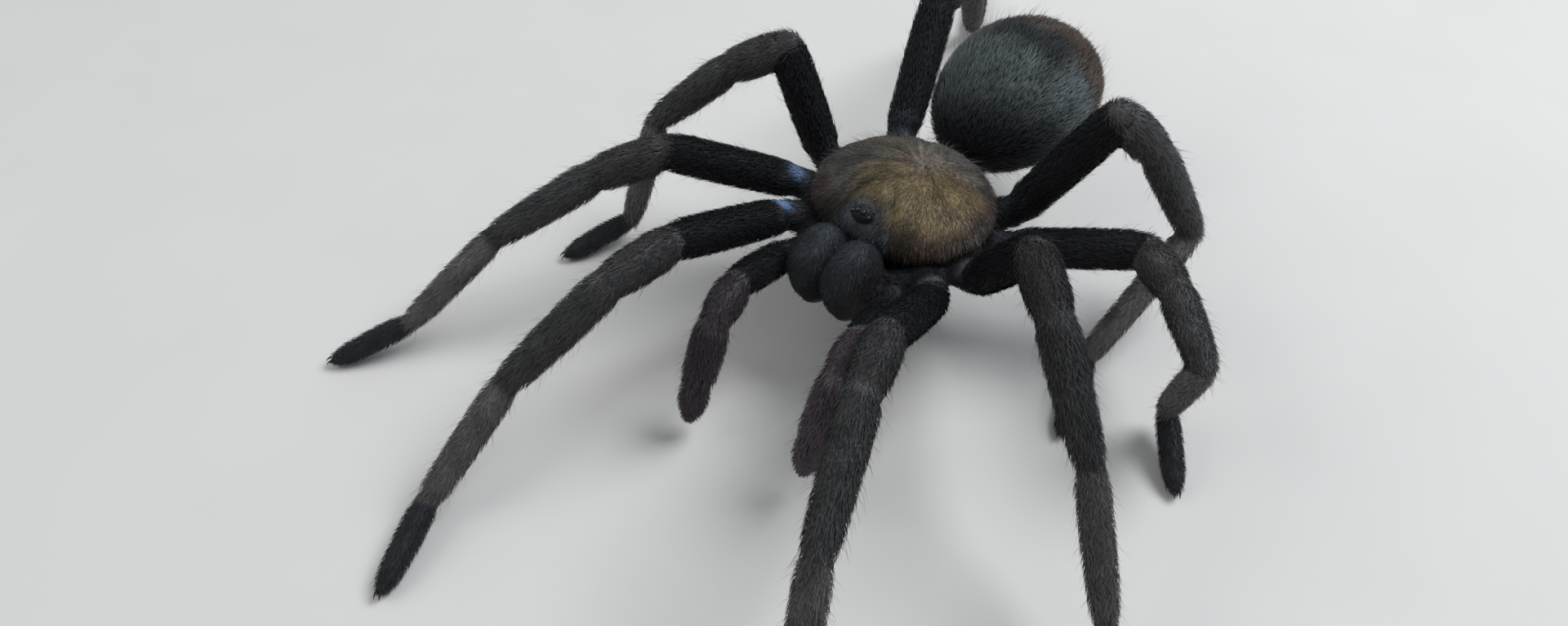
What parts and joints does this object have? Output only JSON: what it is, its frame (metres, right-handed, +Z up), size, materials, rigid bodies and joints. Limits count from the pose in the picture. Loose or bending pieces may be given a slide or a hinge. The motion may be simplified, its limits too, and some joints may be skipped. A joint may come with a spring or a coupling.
{
  "type": "tarantula",
  "caption": "Life-size dark walking tarantula with long hairy legs, a round bronze-brown carapace, a dark oval abdomen, palps, chelicerae and folded fangs, as a still museum model.",
  "frame": {"origin": "on the floor under the middle of the bounding box", "axes": "+Z up, the head faces -Y, the animal's left is +X"},
  "size_m": [0.0828, 0.1158, 0.0281],
  "materials": {
    "coat_black": "velvet-black short hair on thighs and underside",
    "coat_brown": "charcoal-brown short hair on shins, feet and palps",
    "coat_golden": "short bronze-brown hair with a dull sheen, rayed from the middle",
    "coat_grey": "charcoal hair with a blue-grey sheen",
    "fang_horn": "polished dark horn",
    "eye_gloss": "glossy black"
  },
  "bodies": {
    "root": {"carapace": "coat_golden", "underside": "coat_black", "eyes": "eye_gloss", "right_chelicera": "coat_grey", "right_fang": "fang_horn", "right_spinneret": "coat_brown", "left_chelicera": "coat_grey", "left_fang": "fang_horn", "left_spinneret": "coat_brown", "abdomen": "coat_grey", "right_leg_1_femur": "coat_black", "right_leg_1_patella": "coat_brown", "right_leg_1_tibia": "coat_brown", "right_leg_1_metatarsus": "coat_brown", "right_leg_1_tarsus": "coat_brown", "right_leg_2_femur": "coat_black", "right_leg_2_patella": "coat_brown", "right_leg_2_tibia": "coat_brown", "right_leg_2_metatarsus": "coat_brown", "right_leg_2_tarsus": "coat_brown", "right_leg_3_femur": "coat_black", "right_leg_3_patella": "coat_brown", "right_leg_3_tibia": "coat_brown", "right_leg_3_metatarsus": "coat_brown", "right_leg_3_tarsus": "coat_brown", "right_leg_4_femur": "coat_black", "right_leg_4_patella": "coat_brown", "right_leg_4_tibia": "coat_brown", "right_leg_4_metatarsus": "coat_brown", "right_leg_4_tarsus": "coat_brown", "left_leg_1_femur": "coat_black", "left_leg_1_patella": "coat_brown", "left_leg_1_tibia": "coat_brown", "left_leg_1_metatarsus": "coat_brown", "left_leg_1_tarsus": "coat_brown", "left_leg_2_femur": "coat_black", "left_leg_2_patella": "coat_brown", "left_leg_2_tibia": "coat_brown", "left_leg_2_metatarsus": "coat_brown", "left_leg_2_tarsus": "coat_brown", "left_leg_3_femur": "coat_black", "left_leg_3_patella": "coat_brown", "left_leg_3_tibia": "coat_brown", "left_leg_3_metatarsus": "coat_brown", "left_leg_3_tarsus": "coat_brown", "left_leg_4_femur": "coat_black", "left_leg_4_patella": "coat_brown", "left_leg_4_tibia": "coat_brown", "left_leg_4_metatarsus": "coat_brown", "left_leg_4_tarsus": "coat_brown", "right_palp_femur": "coat_black", "right_palp_patella": "coat_brown", "right_palp_tibia": "coat_brown", "right_palp_tarsus": "coat_brown", "left_palp_femur": "coat_black", "left_palp_patella": "coat_brown", "left_palp_tibia": "coat_brown", "left_palp_tarsus": "coat_brown"}
  },
  "joints": []
}
